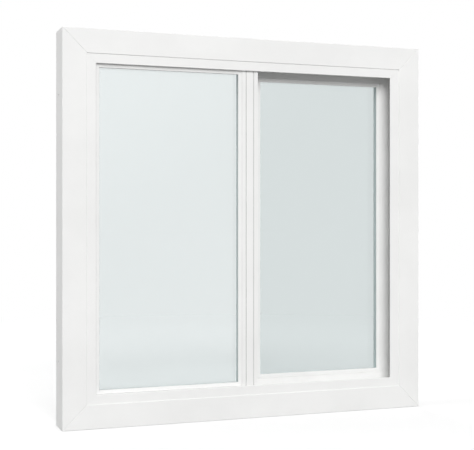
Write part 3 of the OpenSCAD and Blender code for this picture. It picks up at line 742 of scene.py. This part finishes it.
@dataclass
class LockSet:
    """Thumb-turn lock on the sash's meeting stile, with its keeper on the fixed rail."""

    finishes: Finishes
    screws: ScrewPair = field(
        default_factory=lambda: ScrewPair("lock_screws", "sash", Axis.X, outward=-1))
    keeper_screws: ScrewPair = field(
        default_factory=lambda: ScrewPair("keeper_screws", "frame", Axis.Y, outward=1))
    head_gap: float = 0.2 * MM
    base_sides: int = 64
    rim: float = 1.6 * MM
    rim_steps: int = 5
    panel_inset: float = 2.2 * MM
    panel_sink: float = 0.3 * MM
    pivot_gap: float = 0.05 * MM
    hub_r: float = 8.0 * MM
    hub_sides: int = 64
    pivot_r: float = 4.0 * MM
    face_gap: float = 0.5 * MM
    thumb_w: float = 8.0 * MM
    thumb_t: float = 6.0 * MM
    thumb_sides: int = 32
    beak_w: float = 6.0 * MM
    beak_t: float = 3.0 * MM
    beak_sides: int = 128
    grip_count: int = 4
    grip_r: float = 0.8 * MM
    grip_sides: int = 16
    grip_pitch: float = 2.2 * MM
    grip_d: float = 0.6 * MM
    lever_grain: float = 0.2 * MM
    lever_rounds: int = 8
    keeper_edge: float = 0.35 * MM
    keeper_corner: float = 2.0 * MM
    keeper_steps: int = 5
    keeper_end: float = 9.0 * MM
    beak_gap: float = 1.0 * MM
    beak_gap_steps: int = 4

    def build(self) -> None:
        """Models base, lever, keeper and their screws."""
        self.build_base()
        self.build_lever()
        self.build_keeper()
        for pair in (self.screws, self.keeper_screws):
            pair.build(self.finishes.zinc)

    def build_base(self) -> None:
        """Models the base: a long round-ended boss with a sunk panel, screw seats and pivot hole."""
        low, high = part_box("lock_base")
        r = (high[1] - low[1]) / 2
        y = low[1] + r
        z = (low[2] + high[2]) / 2
        straight = high[2] - low[2] - 2 * r
        base = Solid.rod(Axis.X, (low[0], y, z), r, high[0] - low[0], self.base_sides)
        for sign in (-1, 1):
            base.pick(Element.VERT, lambda v: (v[2] - z) * sign > 0)
            bpy.ops.transform.translate(value=(0, 0, sign * straight / 2))
            Solid.done()
        base.round_edges(self.rim, self.rim_steps, lambda a, b: at(Axis.X, low[0], a, b))
        base.pick(Element.FACE, lambda centre, normal: normal[0] < -FACING)
        bpy.ops.mesh.inset(thickness=self.panel_inset - self.rim)
        bpy.ops.mesh.inset(thickness=self.panel_sink)
        bpy.ops.transform.translate(value=(self.panel_sink, 0, 0))
        Solid.done()
        seat = self.screws.head_r + self.head_gap
        hole = self.screws.shank_r + self.head_gap
        through = high[0] - low[0] + 2 * self.rim
        for face in self.screws.faces():
            start = (low[0] - self.rim, face[1], face[2])
            base.drill(Axis.X, start, seat, self.rim + self.screws.head_t)
            base.drill(Axis.X, start, hole, through)
        base.drill(Axis.X, (low[0] - self.rim, y, z), self.pivot_r + self.pivot_gap, through)
        base.hand_over("lock_base_cover", "sash", "lock_enamel", "lock_base", self.finishes.enamel)

    def build_lever(self) -> None:
        """Models the lever: a round hub, a thumb piece with grip grooves, a beak and a pivot."""
        low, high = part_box("lock_lever")
        base_low, base_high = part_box("lock_base")
        y = (low[1] + high[1]) / 2
        z = (base_low[2] + base_high[2]) / 2
        outer = low[0]
        inner = outer + self.thumb_t
        half = self.thumb_w / 2
        lever = Solid.rod(Axis.X, (outer, y, z), self.hub_r, self.thumb_t, self.hub_sides)
        thumb = Solid.rod(Axis.X, (outer, y, z), half, self.thumb_t, self.thumb_sides)
        thumb.pick(Element.VERT, lambda v: v[2] > z)
        bpy.ops.transform.translate(value=(0, 0, high[2] - half - z))
        Solid.done()
        lever.combine(thumb, Boolean.ADD)
        beak = Solid.block((inner - self.beak_t, y - self.beak_w / 2, low[2]),
                           (inner, y + self.beak_w / 2, z))
        sweep = Solid.rod(Axis.X, (inner - self.beak_t, y, z), z - low[2], self.beak_t, self.beak_sides)
        beak.combine(sweep, Boolean.SHARE)
        lever.combine(beak, Boolean.ADD)
        pivot = Solid.rod(Axis.X, (inner - self.face_gap, y, z), self.pivot_r,
                          high[0] - inner + self.face_gap)
        lever.combine(pivot, Boolean.ADD)
        for k in range(self.grip_count):
            place = high[2] - half - k * self.grip_pitch
            lever.drill(Axis.Y, (outer - self.grip_r + self.grip_d, y - self.thumb_w, place),
                        self.grip_r, 2 * self.thumb_w, self.grip_sides)
        lever.cast(self.lever_grain, self.lever_rounds)
        lever.hand_over("lock_thumb_turn", "lock", "lock_enamel", "lock_lever", self.finishes.enamel)

    def build_keeper(self) -> None:
        """Models the keeper: a plate with round corners, a slot for the beak and screw seats."""
        low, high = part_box("lock_keeper")
        lever_low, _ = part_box("lock_lever")
        keeper = Solid.block(low, high)
        keeper.round_edges(self.keeper_corner, self.keeper_steps, lambda a, b: along(Axis.Y, a, b))
        beak_left = lever_low[0] + self.thumb_t - self.beak_t
        slot = Solid.block((beak_left - self.beak_gap, low[1] - self.rim, low[2] + self.keeper_end),
                           (beak_left + self.beak_t + self.beak_gap, high[1] + self.rim,
                            high[2] - self.keeper_end))
        slot.round_edges(self.beak_gap, self.beak_gap_steps, lambda a, b: along(Axis.Y, a, b))
        keeper.combine(slot, Boolean.CUT)
        seat = self.keeper_screws.head_r + self.head_gap
        hole = self.keeper_screws.shank_r + self.head_gap
        sunk = self.keeper_screws.head_t
        for x, y, z in self.keeper_screws.faces():
            keeper.drill(Axis.Y, (x, y - sunk, z), seat, sunk + self.rim)
            keeper.drill(Axis.Y, (x, low[1] - self.rim, z), hole, high[1] - low[1] + 2 * self.rim)
        keeper.soften(self.keeper_edge)
        keeper.hand_over("lock_keeper_plate", "frame", "zinc_steel", "lock_keeper", self.finishes.zinc)


@dataclass
class FingerPull:
    """The sash's finger pull: a flat base with a rounded lip, fluted where the fingers draw on it."""

    finishes: Finishes
    wall: float = 2.0 * MM
    lip_round: float = 0.95 * MM
    lip_steps: int = 5
    end_round: float = 3.5 * MM
    end_steps: int = 6
    root_round: float = 0.8 * MM
    root_steps: int = 4
    edge: float = 0.4 * MM
    flute_count: int = 2
    flute_r: float = 0.6 * MM
    flute_sides: int = 16
    flute_d: float = 0.25 * MM
    flute_top: float = 0.55 * MM
    flute_pitch: float = 1.1 * MM
    flute_end: float = 6.0 * MM

    def build(self) -> None:
        """Models the pull from a strip whose left edge is drawn out into the room."""
        low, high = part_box("sash_pull")
        lip_x = low[0] + self.wall
        back = low[1] + self.wall
        pull = Solid.block(low, (high[0], back, high[2]))
        pull.pick(Element.FACE, lambda centre, normal: True)
        bpy.ops.mesh.bisect(plane_co=(lip_x, back, low[2]), plane_no=(1, 0, 0))
        Solid.done()
        pull.pick(Element.FACE, lambda centre, normal: normal[1] > FACING and centre[0] < lip_x)
        bpy.ops.mesh.extrude_region_move(TRANSFORM_OT_translate={"value": (0, high[1] - back, 0)})
        Solid.done()
        pull.round_edges(self.root_round, self.root_steps,
                         lambda a, b: at(Axis.X, lip_x, a, b) and at(Axis.Y, back, a, b))
        pull.round_edges(self.end_round, self.end_steps,
                         lambda a, b: along(Axis.X, a, b) and at(Axis.Y, high[1], a, b))
        pull.round_edges(self.end_round, self.end_steps,
                         lambda a, b: along(Axis.Y, a, b) and at(Axis.X, high[0], a, b))
        top = high[1] - self.end_round - LONG
        pull.round_edges(self.lip_round, self.lip_steps,
                         lambda a, b: min(a[1], b[1]) > top and at(Axis.X, a[0], b))
        pull.soften(self.edge)
        for k in range(self.flute_count):
            y = high[1] - self.lip_round - self.flute_top - k * self.flute_pitch
            pull.drill(Axis.Z, (lip_x + self.flute_r - self.flute_d, y, low[2] + self.flute_end),
                       self.flute_r, high[2] - low[2] - 2 * self.flute_end, self.flute_sides)
        pull.hand_over("finger_pull", "sash", "white_upvc", "sash_pull", self.finishes.upvc[Run.ALONG_Z])


@dataclass
class OpenStops:
    """The two bumpers in the left jamb that end the sash's travel."""

    finishes: Finishes
    length: float = 30.0 * MM
    rib_w: float = 4.4 * MM
    rib_h: float = 6.2 * MM
    corner: float = 2.5 * MM
    nose_steps: int = 4
    side_steps: int = 3
    edge: float = 0.3 * MM
    groove_count: int = 3
    groove_r: float = 1.0 * MM
    groove_sides: int = 24
    groove_d: float = 0.8 * MM
    groove_pitch: float = 6.0 * MM

    def build(self) -> None:
        """Models one bumper, notched over the jamb's rib and grooved on its nose, and copies it."""
        low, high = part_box("open_stops")
        y = (low[1] + high[1]) / 2
        stop = Solid.block(low, (high[0], high[1], low[2] + self.length))
        stop.round_edges(self.corner, self.nose_steps, lambda a, b: at(Axis.X, high[0], a, b))
        stop.round_edges(self.corner / 2, self.side_steps,
                         lambda a, b: abs(a[0] - b[0]) > (high[0] - low[0]) / 2)
        notch = Solid.block((low[0] - self.corner, y - self.rib_w / 2, low[2] - self.corner),
                            (low[0] + self.rib_h, y + self.rib_w / 2, low[2] + self.length + self.corner))
        stop.combine(notch, Boolean.CUT)
        for k in range(self.groove_count):
            z = low[2] + self.length / 2 + (k - (self.groove_count - 1) / 2) * self.groove_pitch
            stop.drill(Axis.Y, (high[0] + self.groove_r - self.groove_d, low[1] - self.corner, z),
                       self.groove_r, high[1] - low[1] + 2 * self.corner, self.groove_sides)
        stop.soften(self.edge)
        stop.join(stop.copy_at((0, 0, high[2] - low[2] - self.length)))
        stop.hand_over("open_stop_bumpers", "frame", "grey_elastomer", "open_stops",
                       self.finishes.elastomer)


@dataclass
class PileStrips:
    """Weatherstrips: a woven backing with a brush of short tufts."""

    finishes: Finishes
    backing_t: float = 0.8 * MM
    backing_edge: float = 0.2 * MM
    tuft_r: float = 0.75 * MM
    tuft_tip_r: float = 0.45 * MM
    tuft_sides: int = 6
    tuft_pitch: float = 1.5 * MM
    tuft_lean: float = 0.25 * MM
    rows: int = 2
    row_pitch: float = 1.35 * MM
    # Where the first row begins, and how far each row is shifted from the last, in tuft pitches.
    row_start: float = 0.75
    row_shift: float = 0.5

    def build(self) -> None:
        """Models the four strips."""
        for node, run in (("pile_head", Axis.X), ("pile_sill", Axis.X),
                          ("pile_jamb", Axis.Z), ("pile_meeting", Axis.Z)):
            self.build_strip(node, run)

    def build_strip(self, node: str, run: Axis) -> None:
        """Models one strip: one tuft, repeated along its backing.

        Args:
            node: The CAD node that it stands for.
            run: The axis that it runs along, X or Z.
        """
        low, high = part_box(node)
        i = run.number
        side = 2 - i
        meeting = node == "pile_meeting"
        back = low[1] if meeting else high[1]
        tip = high[1] if meeting else low[1]
        inward = 1 if meeting else -1
        foot = back + inward * self.backing_t
        plate = [list(low), list(high)]
        plate[0][1], plate[1][1] = sorted((back, foot))
        strip = Solid.block(*plate)
        strip.soften(self.backing_edge)
        middle = (low[side] + high[side]) / 2
        count = int((high[i] - low[i]) / self.tuft_pitch) - 1
        for row in range(self.rows):
            offset = (row - (self.rows - 1) / 2) * self.row_pitch
            start = [0.0, 0.0, 0.0]
            start[i] = low[i] + self.tuft_pitch * (self.row_start + self.row_shift * row)
            start[side] = middle + offset
            tuft = self.build_tuft(start, foot, tip, run, offset)
            tuft.modify("ARRAY", count=count, use_relative_offset=False, use_constant_offset=True,
                        constant_offset_displace=run.reach(self.tuft_pitch))
            strip.join(tuft)
        strip.hand_over(f"{node}_brush", "frame", "pile", node, self.finishes.pile)

    def build_tuft(self, start: Point, foot: float, tip: float, run: Axis, lean: float) -> Solid:
        """Models one tuft: a short rod whose tip is drawn in and splayed.

        Args:
            start: Its place along and across the strip.
            foot: The Y of its foot.
            tip: The Y of its tip.
            run: The axis that the strip runs along.
            lean: The way that its tip leans across the strip.

        Returns:
            The tuft.
        """
        near, far = sorted((foot, tip))
        tuft = Solid.rod(Axis.Y, (start[0], near, start[2]), self.tuft_r, far - near, self.tuft_sides)
        tuft.pick(Element.VERT, lambda v: at(Axis.Y, tip, v))
        shrink = self.tuft_tip_r / self.tuft_r
        bpy.ops.transform.resize(value=(shrink, 1.0, shrink))
        splay = run.reach(self.tuft_lean / 2)
        splay[2 - run.number] = math.copysign(self.tuft_lean, lean)
        bpy.ops.transform.translate(value=splay)
        Solid.done()
        return tuft


@dataclass
class Fittings:
    """Rail, rollers and guides, which keep the shape of their solids."""

    finishes: Finishes

    def build(self) -> None:
        """Dresses the fittings."""
        dress(("roller_rail",), self.finishes.aluminium)
        dress(("roller_housing_left", "roller_housing_right", "roller_axles"), self.finishes.zinc)
        dress(("roller_wheel_left", "roller_wheel_right", "sash_guides"), self.finishes.nylon)


def bearing(azimuth_deg: float, elevation_deg: float) -> Vector:
    """Finds the way to a place around the window; azimuth 0 is in front and 90 is at the right.

    Args:
        azimuth_deg: The turn from the front.
        elevation_deg: The rise above the floor.

    Returns:
        A vector of length 1.
    """
    turn = math.radians(azimuth_deg)
    rise = math.radians(elevation_deg)
    return Vector((math.sin(turn) * math.cos(rise), -math.cos(turn) * math.cos(rise), math.sin(rise)))


@dataclass
class Lamp:
    """One square soft box, placed by its direction from the middle of the window."""

    name: str
    azimuth_deg: float
    elevation_deg: float
    distance: float
    size: float
    watts: float
    mirrored: bool = True
    aim: tuple[float, float, float] = (0.0, 0.0, 0.45)

    def build(self) -> None:
        """Adds the soft box, facing its aim."""
        data = bpy.data.lights.new(self.name, "AREA")
        data.size = self.size
        data.energy = self.watts
        lamp = bpy.data.objects.new(self.name, data)
        bpy.context.scene.collection.objects.link(lamp)
        way = bearing(self.azimuth_deg, self.elevation_deg)
        lamp.location = Vector(self.aim) + way * self.distance
        lamp.rotation_euler = way.to_track_quat("Z", "Y").to_euler()
        lamp.visible_camera = False
        lamp.visible_transmission = False
        lamp.visible_glossy = self.mirrored


@dataclass
class Studio:
    """Pale floor, white surround, soft boxes and the camera."""

    white: str = "#FFFFFF"
    ambient: float = 0.36
    mirror_share: float = 0.6
    # A soft patch of the surround is brighter than white, and shows as a sheen in the glass.
    sheen_azimuth_deg: float = 5.0
    sheen_elevation_deg: float = 20.0
    sheen_half_deg: float = 24.0
    sheen_peak: float = 1.6
    floor_half: float = 30.0
    floor_paper: str = "#949494"
    # A share of the floor near the window is lit and shows shadows. The rest glows, lifted to stay white.
    floor_shade: float = 0.62
    shade_near: float = 0.9
    shade_far: float = 2.6
    floor_lift: float = 0.22
    # A painted contact shadow: the floor is a little darker where it almost touches the window.
    contact_reach: float = 0.03
    contact_samples: int = 8
    contact_shut: float = 0.4
    contact_dark: float = 0.88
    lens_mm: float = 78.47
    sensor_mm: float = 36.0
    camera_reach: float = 100.0
    camera_place: tuple[float, float, float] = (-0.8861, -2.3651, 0.4840)
    camera_yaw_deg: float = 20.05
    horizon_px: float = 217.1
    lamps: list[Lamp] = field(default_factory=lambda: [
        Lamp("front_box", azimuth_deg=-8.0, elevation_deg=29.0, distance=30.0, size=18.0, watts=7400.0,
             mirrored=False),
        Lamp("left_box", azimuth_deg=-95.0, elevation_deg=30.0, distance=6.0, size=3.0, watts=93.0),
        Lamp("right_box", azimuth_deg=95.0, elevation_deg=20.0, distance=6.0, size=3.0, watts=50.0),
        Lamp("room_side_box", azimuth_deg=180.0, elevation_deg=9.0, distance=16.0, size=5.0, watts=1250.0,
             mirrored=False),
    ])

    def build(self) -> None:
        """Builds floor, surround, lamps and camera."""
        self.build_world()
        self.build_floor()
        for lamp in self.lamps:
            lamp.build()
        self.build_camera()
        bpy.context.scene.view_settings.view_transform = "Standard"

    def seen_ray(self, tree: Tree) -> bpy.types.NodeSocket:
        """Adds nodes that tell rays which show the surround from rays that light the object.

        Args:
            tree: The node tree of the floor or the world.

        Returns:
            A socket of 1 for camera and transmission rays, a share for glossy rays, else 0.
        """
        path = add_node(tree, "LightPath")
        seen = add_node(tree, "Math", {0: path.outputs["Is Glossy Ray"]}, {1: self.mirror_share},
                        operation="MULTIPLY")
        for ray in ("Is Camera Ray", "Is Transmission Ray"):
            seen = add_node(tree, "Math", {0: seen.outputs[0], 1: path.outputs[ray]},
                            operation="MAXIMUM")
        return seen.outputs[0]

    def build_world(self) -> None:
        """Makes a surround that looks white, lights evenly and gives the glass its sheen."""
        world = bpy.data.worlds.new("white_surround")
        bpy.context.scene.world = world
        world.use_nodes = True
        tree = world.node_tree
        tree.nodes.clear()
        white = linear(self.white)
        lit = add_node(tree, "Background", values={"Color": white, "Strength": self.ambient})
        place = add_node(tree, "TexCoord")
        toward = add_node(tree, "VectorMath", {0: place.outputs["Generated"]},
                          {1: bearing(self.sheen_azimuth_deg, self.sheen_elevation_deg)},
                          operation="DOT_PRODUCT")
        sheen = add_node(tree, "MapRange", {"Value": toward.outputs["Value"]},
                         {"From Min": math.cos(math.radians(self.sheen_half_deg)), "From Max": 1.0,
                          "To Min": 1.0, "To Max": self.sheen_peak}, interpolation_type="SMOOTHSTEP")
        shown = add_node(tree, "Background", {"Strength": sheen.outputs["Result"]}, {"Color": white})
        mix = add_node(tree, "MixShader",
                       {0: self.seen_ray(tree), 1: lit.outputs[0], 2: shown.outputs[0]})
        add_node(tree, "OutputWorld", {"Surface": mix.outputs[0]})

    def build_floor(self) -> None:
        """Lays white studio paper that keeps a faint shadow near the window."""
        Solid.clear()
        bpy.ops.mesh.primitive_plane_add(size=2 * self.floor_half, location=(0, 0, 0))
        floor = bpy.context.active_object
        floor.name = "studio_floor"
        material, tree = new_material("white_studio_paper")
        paper = add_node(tree, "BsdfDiffuse", values={"Color": linear(self.floor_paper)})
        # Painted contact shadow: an occlusion mask darkens the floor's glow and colour next to the
        # window.
        near = add_node(tree, "AmbientOcclusion", values={"Distance": self.contact_reach},
                        samples=self.contact_samples)
        contact = add_node(tree, "MapRange", {"Value": near.outputs["AO"]},
                           {"From Min": self.contact_shut, "To Min": self.contact_dark})
        shade = add_node(tree, "BsdfDiffuse", {"Color": contact.outputs["Result"]})
        place = add_node(tree, "TexCoord")
        reach = add_node(tree, "VectorMath", {0: place.outputs["Object"]}, operation="LENGTH")
        share = add_node(tree, "MapRange", {"Value": reach.outputs["Value"]},
                         {"From Min": self.shade_near, "From Max": self.shade_far,
                          "To Min": self.floor_shade, "To Max": 0.0}, interpolation_type="SMOOTHSTEP")
        lift = add_node(tree, "Math", {0: share.outputs["Result"]},
                        {1: self.floor_lift, 2: 1.0}, operation="MULTIPLY_ADD")
        glow = add_node(tree, "Emission",
                        {"Color": contact.outputs["Result"], "Strength": lift.outputs[0]})
        seen = add_node(tree, "MixShader",
                        {0: share.outputs["Result"], 1: glow.outputs[0], 2: shade.outputs[0]})
        mix = add_node(tree, "MixShader",
                       {0: self.seen_ray(tree), 1: paper.outputs[0], 2: seen.outputs[0]})
        add_node(tree, "OutputMaterial", {"Surface": mix.outputs[0]})
        floor.data.materials.append(material)

    def build_camera(self) -> None:
        """Sets the camera at the photograph's viewing angle."""
        data = bpy.data.cameras.new("camera")
        data.lens = self.lens_mm
        data.sensor_width = self.sensor_mm
        data.shift_y = (self.horizon_px - IMAGE_H / 2) / IMAGE_W
        data.clip_end = self.camera_reach
        camera = bpy.data.objects.new("camera", data)
        bpy.context.scene.collection.objects.link(camera)
        camera.location = self.camera_place
        camera.rotation_euler = (math.pi / 2, 0.0, -math.radians(self.camera_yaw_deg))
        bpy.context.scene.camera = camera


def main() -> None:
    """Builds the window's looks and the studio, in order."""
    logging.basicConfig(level=logging.INFO, format="%(message)s")
    finishes = Finishes()
    Members(finishes).build()
    GlassUnits(finishes).build()
    Fittings(finishes).build()
    LockSet(finishes).build()
    FingerPull(finishes).build()
    OpenStops(finishes).build()
    PileStrips(finishes).build()
    Studio().build()


if __name__ == "__main__":
    main()
